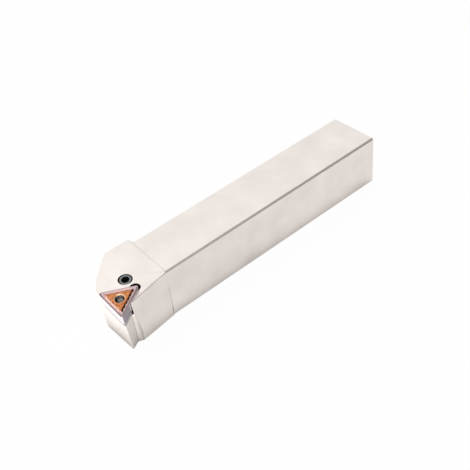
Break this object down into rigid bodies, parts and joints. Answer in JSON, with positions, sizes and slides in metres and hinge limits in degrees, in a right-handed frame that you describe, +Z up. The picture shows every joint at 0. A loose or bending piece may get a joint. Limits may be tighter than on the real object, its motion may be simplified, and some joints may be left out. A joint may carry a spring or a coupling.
{
  "type": "turning tool holder",
  "caption": "Square-shank external turning tool holder with a triangular cutting insert on a shim, clamped by an internal lever and screw.",
  "frame": {"origin": "underside of the shank, on its centre plane, 60 mm from the back end, midway along the length that a tool post clamps", "axes": "+X runs back along the shank away from the head, -Y is the cutting side, +Z is up"},
  "size_m": [0.15, 0.0337, 0.0269],
  "materials": {
    "plated_steel": "satin nickel plate",
    "coated_carbide": "bronze coloured coating",
    "ground_carbide": "ground",
    "spring_steel": "hardened",
    "black_steel": "black oxide"
  },
  "bodies": {
    "holder": {"holder_body": "plated_steel", "insert": "coated_carbide", "shim": "ground_carbide", "shim_sleeve": "spring_steel"},
    "rocker": {"lever": "spring_steel"},
    "clamp_screw": {"lever_screw": "black_steel"}
  },
  "joints": [
    {"name": "screw_turn", "type": "hinge", "parent": "holder", "child": "clamp_screw", "pos_m": [-0.0765, -0.00375, 0.01956], "axis": [-0.0868, -0.0868, 0.9924], "range_deg": [0, 137]},
    {"name": "lever_rock", "type": "hinge", "parent": "holder", "child": "rocker", "pos_m": [-0.08354, -0.01039, 0.01121], "axis": [0.6879, -0.7258, -0.0033], "range_deg": [0, 2.8]}
  ],
  "couplings": [
    {"joint": "lever_rock", "follows": "screw_turn", "ratio": 0.02028}
  ]
}
